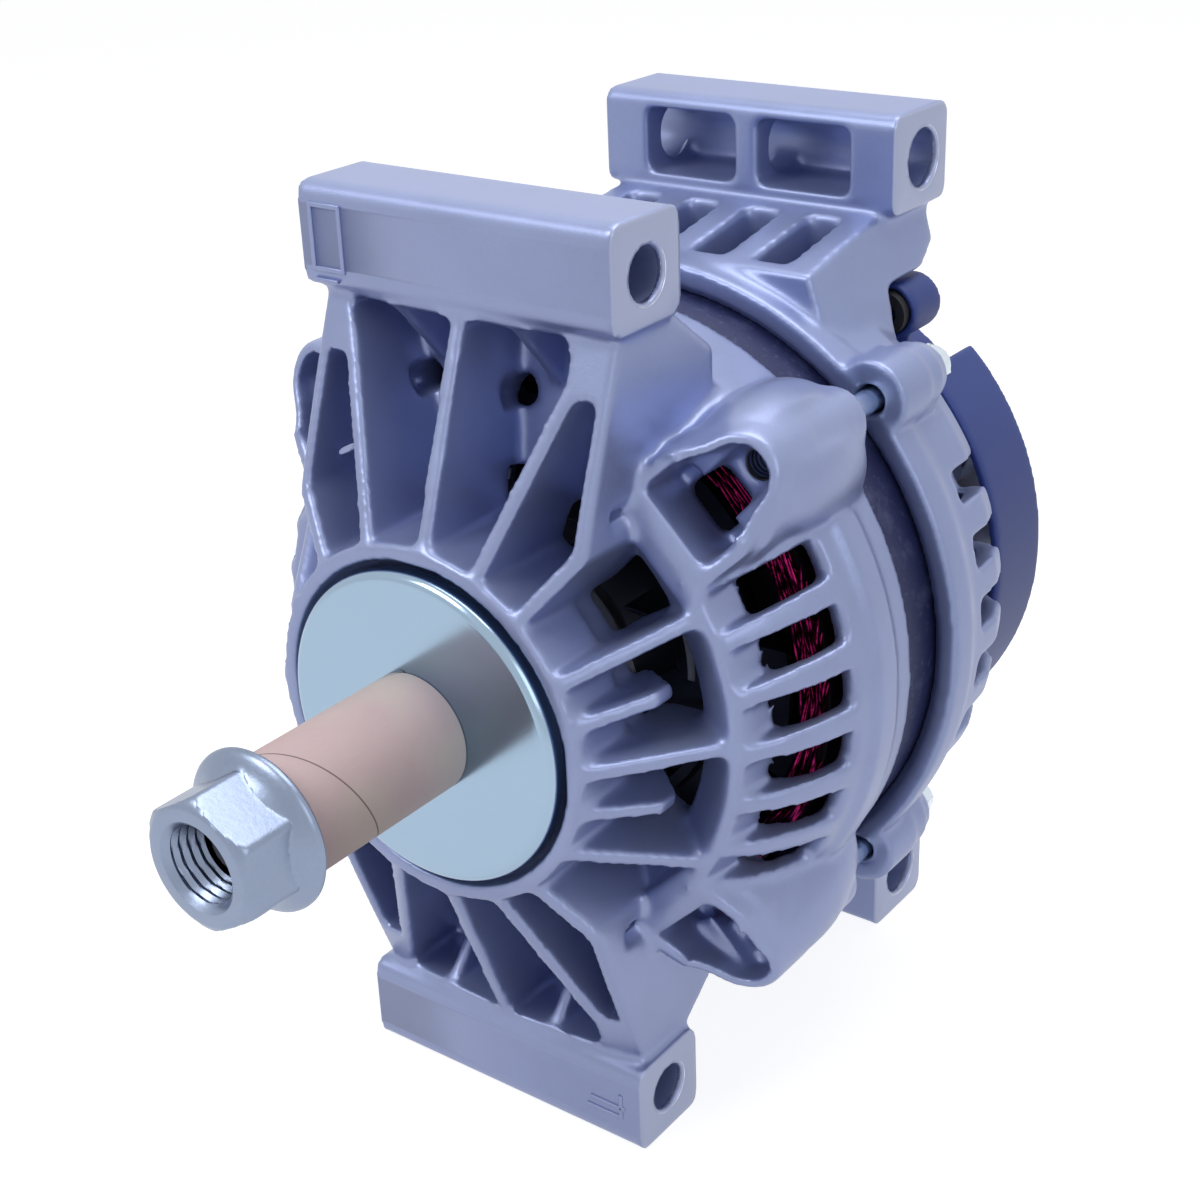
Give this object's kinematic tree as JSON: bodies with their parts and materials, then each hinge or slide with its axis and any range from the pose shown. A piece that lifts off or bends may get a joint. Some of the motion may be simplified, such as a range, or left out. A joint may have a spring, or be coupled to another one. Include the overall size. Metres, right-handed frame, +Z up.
{
  "type": "heavy-duty alternator",
  "caption": "Pad-mount heavy-duty alternator with ribbed cast end frames, claw-pole rotor, internal fans, rear rectifier and brush gear under a plastic cover.",
  "frame": {"origin": "on the shaft's axis, midway between the upper and lower front mounting bores and midway along them", "axes": "+X along the mounting bores, to the right seen from the drive end; +Y along the shaft towards the rear cover; +Z up"},
  "size_m": [0.148, 0.216, 0.1994],
  "materials": {
    "front_casting": "fine-grained die casting, satin",
    "rear_casting": "fine-grained die casting, satin",
    "core_lacquer": "dark speckled lacquer over steel laminations",
    "copper": "red enamelled copper",
    "bearing_steel": "ground",
    "plain_steel": "dull",
    "zinc": "pale blue zinc plate",
    "pole_steel": "dark forged steel",
    "fan_steel": "dark sheet steel",
    "sleeve_board": "wound kraft board",
    "insulation": "moulded",
    "black_plastic": "moulded",
    "carbon": "pressed carbon",
    "sink_metal": "stamped plate",
    "cover_plastic": "slate blue, smooth satin",
    "red_insulator": "moulded",
    "seal_rubber": "moulded",
    "brass_contact": "drawn"
  },
  "bodies": {
    "housing": {"drive_end_frame": "front_casting", "slip_ring_end_frame": "rear_casting", "stator_core": "core_lacquer", "stator_winding": "copper", "phase_leads": "copper", "front_bearing_outer_race": "bearing_steel", "bearing_retainer": "plain_steel", "retainer_screws": "plain_steel", "rear_bearing_outer_race": "bearing_steel", "through_bolts": "zinc", "negative_heat_sink": "sink_metal", "positive_heat_sink": "sink_metal", "heat_sink_posts": "insulation", "rectifier_diodes": "bearing_steel", "voltage_regulator": "black_plastic", "regulator_screws": "plain_steel", "brush_holder": "black_plastic", "brush_holder_screws": "plain_steel", "inner_brush_spring": "bearing_steel", "outer_brush_spring": "bearing_steel", "output_stud": "zinc", "output_insulator": "red_insulator", "output_nut": "zinc", "rear_cover": "cover_plastic", "cover_screws": "zinc", "connector_seal": "seal_rubber", "connector_pins": "brass_contact"},
    "rotor": {"rotor_shaft": "plain_steel", "front_pole_claw": "pole_steel", "rear_pole_claw": "pole_steel", "field_coil": "copper", "coil_bobbin": "insulation", "front_fan": "fan_steel", "rear_fan": "fan_steel", "cap_spacer": "plain_steel", "dust_cap": "zinc", "shipping_sleeve": "sleeve_board", "pulley_nut": "zinc", "slip_ring_sleeve": "black_plastic", "slip_rings": "brass_contact", "front_bearing_inner_race": "bearing_steel", "rear_bearing_inner_race": "bearing_steel"},
    "front_ball_set": {"front_bearing_balls": "bearing_steel"},
    "rear_ball_set": {"rear_bearing_balls": "bearing_steel"},
    "inner_brush_block": {"inner_brush": "carbon"},
    "outer_brush_block": {"outer_brush": "carbon"}
  },
  "joints": [
    {"name": "rotor_spin", "type": "hinge", "parent": "housing", "child": "rotor", "pos_m": [0, 0, 0], "axis": [0, 1, 0], "continuous": true},
    {"name": "front_ball_orbit", "type": "hinge", "parent": "housing", "child": "front_ball_set", "pos_m": [0, 0, 0], "axis": [0, 1, 0], "continuous": true},
    {"name": "rear_ball_orbit", "type": "hinge", "parent": "housing", "child": "rear_ball_set", "pos_m": [0, 0, 0], "axis": [0, 1, 0], "continuous": true},
    {"name": "inner_brush_slide", "type": "slide", "parent": "housing", "child": "inner_brush_block", "axis": [-1, 0, 0], "range_m": [0, 0.0055], "stiffness_N_per_m": 200, "springref_m": -0.01, "deforming": ["inner_brush_spring"]},
    {"name": "outer_brush_slide", "type": "slide", "parent": "housing", "child": "outer_brush_block", "axis": [-1, 0, 0], "range_m": [0, 0.0055], "stiffness_N_per_m": 200, "springref_m": -0.01, "deforming": ["outer_brush_spring"]}
  ],
  "couplings": [
    {"joint": "front_ball_orbit", "follows": "rotor_spin", "ratio": 0.369},
    {"joint": "rear_ball_orbit", "follows": "rotor_spin", "ratio": 0.3656}
  ]
}
